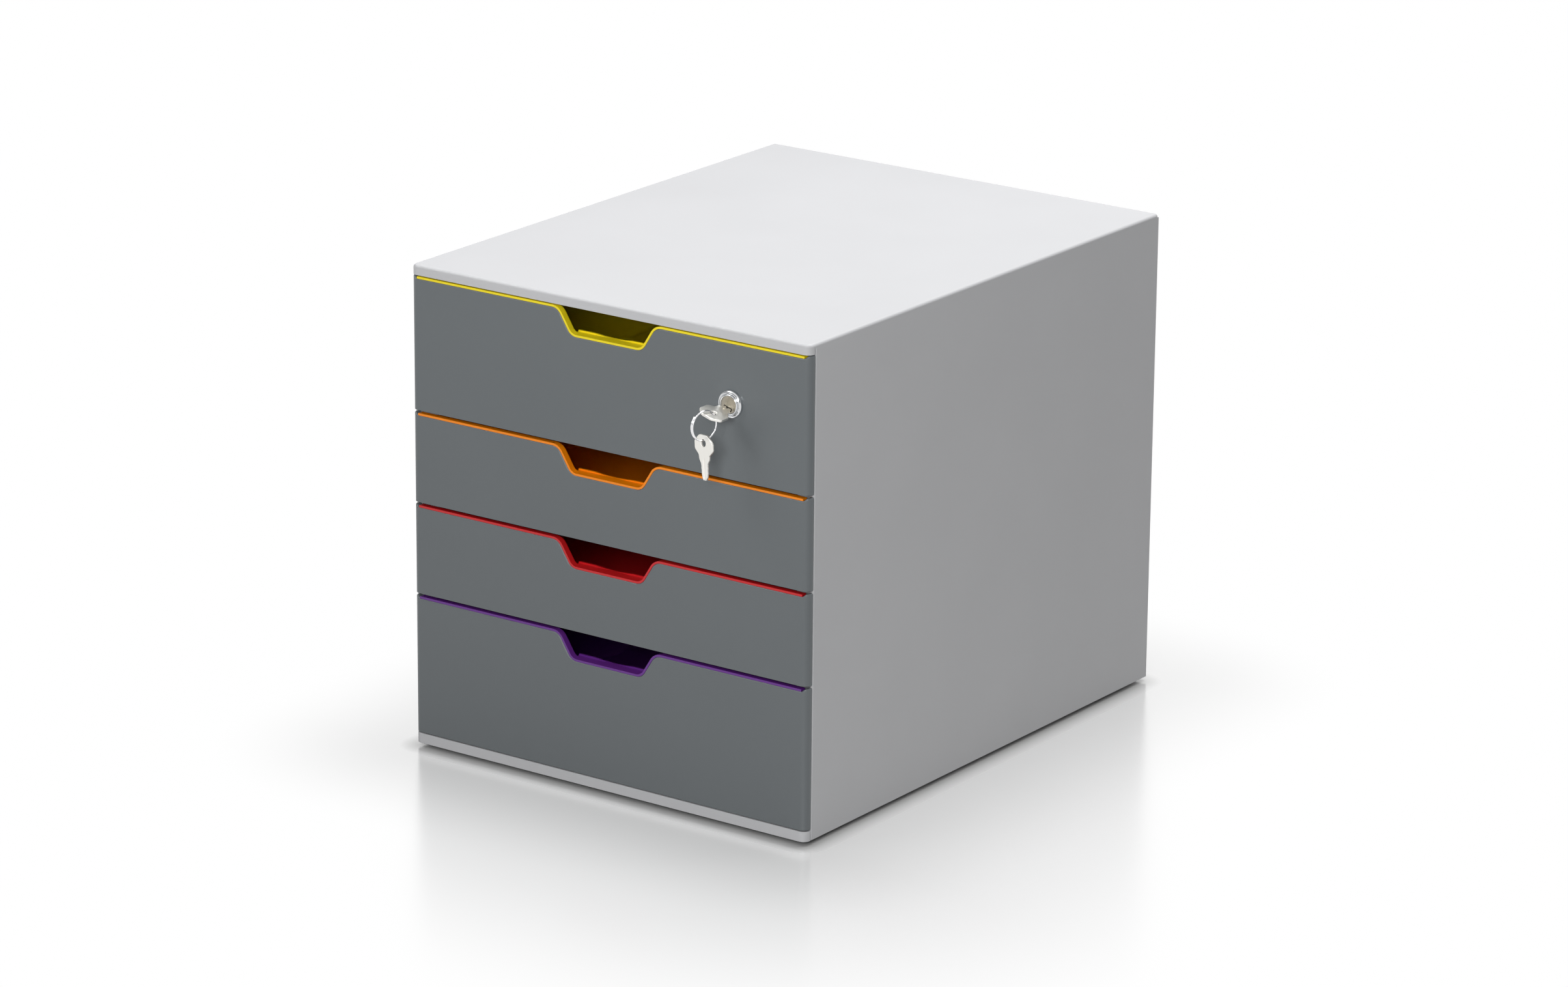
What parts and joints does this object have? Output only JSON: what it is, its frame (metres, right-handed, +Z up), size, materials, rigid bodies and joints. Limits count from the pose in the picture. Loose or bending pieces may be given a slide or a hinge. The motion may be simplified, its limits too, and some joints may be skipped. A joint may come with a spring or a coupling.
{
  "type": "desktop file drawer",
  "caption": "Desktop file drawer box with sliding coloured trays behind grey notched fronts, and a cam lock with its keys on the top drawer.",
  "frame": {"origin": "centre of the housing's base, on the surface that the rubber feet stand on", "axes": "+X to the right seen from the front, +Y to the back, +Z up; the drawers pull out along -Y"},
  "size_m": [0.28, 0.3869, 0.292],
  "materials": {
    "housing_plastic": "light grey moulded plastic with a fine satin texture",
    "front_plastic": "dark grey moulded plastic, fine satin texture",
    "tray_yellow": "yellow moulded plastic, satin gloss",
    "tray_orange": "orange moulded plastic, satin gloss",
    "tray_red": "red moulded plastic, satin gloss",
    "tray_purple": "purple moulded plastic, satin gloss",
    "foot_rubber": "black rubber",
    "zinc_steel": "zinc-plated steel",
    "chrome_plate": "bright chrome plate",
    "nickel_key": "nickel-plated pressed key",
    "ring_steel": "bright steel wire"
  },
  "bodies": {
    "housing": {"top_cover": "housing_plastic", "base_plate": "housing_plastic", "rubber_feet": "foot_rubber", "base_screws": "zinc_steel", "left_side": "housing_plastic", "right_side": "housing_plastic", "back_panel": "housing_plastic", "lock_catch": "zinc_steel"},
    "drawer_1": {"tray_1": "tray_yellow", "front_1": "front_plastic", "lock_housing": "chrome_plate", "lock_nut": "zinc_steel"},
    "drawer_2": {"tray_2": "tray_orange", "front_2": "front_plastic"},
    "drawer_3": {"tray_3": "tray_red", "front_3": "front_plastic"},
    "drawer_4": {"tray_4": "tray_purple", "front_4": "front_plastic"},
    "lock_plug": {"lock_plug": "chrome_plate", "lock_cam": "zinc_steel", "cam_screw": "zinc_steel"},
    "working_key": {"working_key": "nickel_key"},
    "key_ring": {"key_ring": "ring_steel"},
    "spare_key": {"spare_key": "nickel_key"}
  },
  "joints": [
    {"name": "drawer_1_slide", "type": "slide", "parent": "housing", "child": "drawer_1", "axis": [0, -1, 0], "range_m": [0, 0.27]},
    {"name": "drawer_2_slide", "type": "slide", "parent": "housing", "child": "drawer_2", "axis": [0, -1, 0], "range_m": [0, 0.27]},
    {"name": "drawer_3_slide", "type": "slide", "parent": "housing", "child": "drawer_3", "axis": [0, -1, 0], "range_m": [0, 0.27]},
    {"name": "drawer_4_slide", "type": "slide", "parent": "housing", "child": "drawer_4", "axis": [0, -1, 0], "range_m": [0, 0.27]},
    {"name": "lock_turn", "type": "hinge", "parent": "drawer_1", "child": "lock_plug", "pos_m": [0.0872, -0.17, 0.2497], "axis": [0, 1, 0], "range_deg": [-18, 72]},
    {"name": "key_pull", "type": "slide", "parent": "lock_plug", "child": "working_key", "axis": [0, -1, 0], "range_m": [0, 0.012]},
    {"name": "ring_swing", "type": "hinge", "parent": "working_key", "child": "key_ring", "pos_m": [0.08649, -0.194, 0.24751], "axis": [-0.9613, 0.2756, 0], "range_deg": [0, 90]},
    {"name": "spare_key_swing", "type": "hinge", "parent": "key_ring", "child": "spare_key", "pos_m": [0.08475, -0.20007, 0.23333], "axis": [0.2756, 0.9613, 0], "range_deg": [-40, 40]}
  ]
}
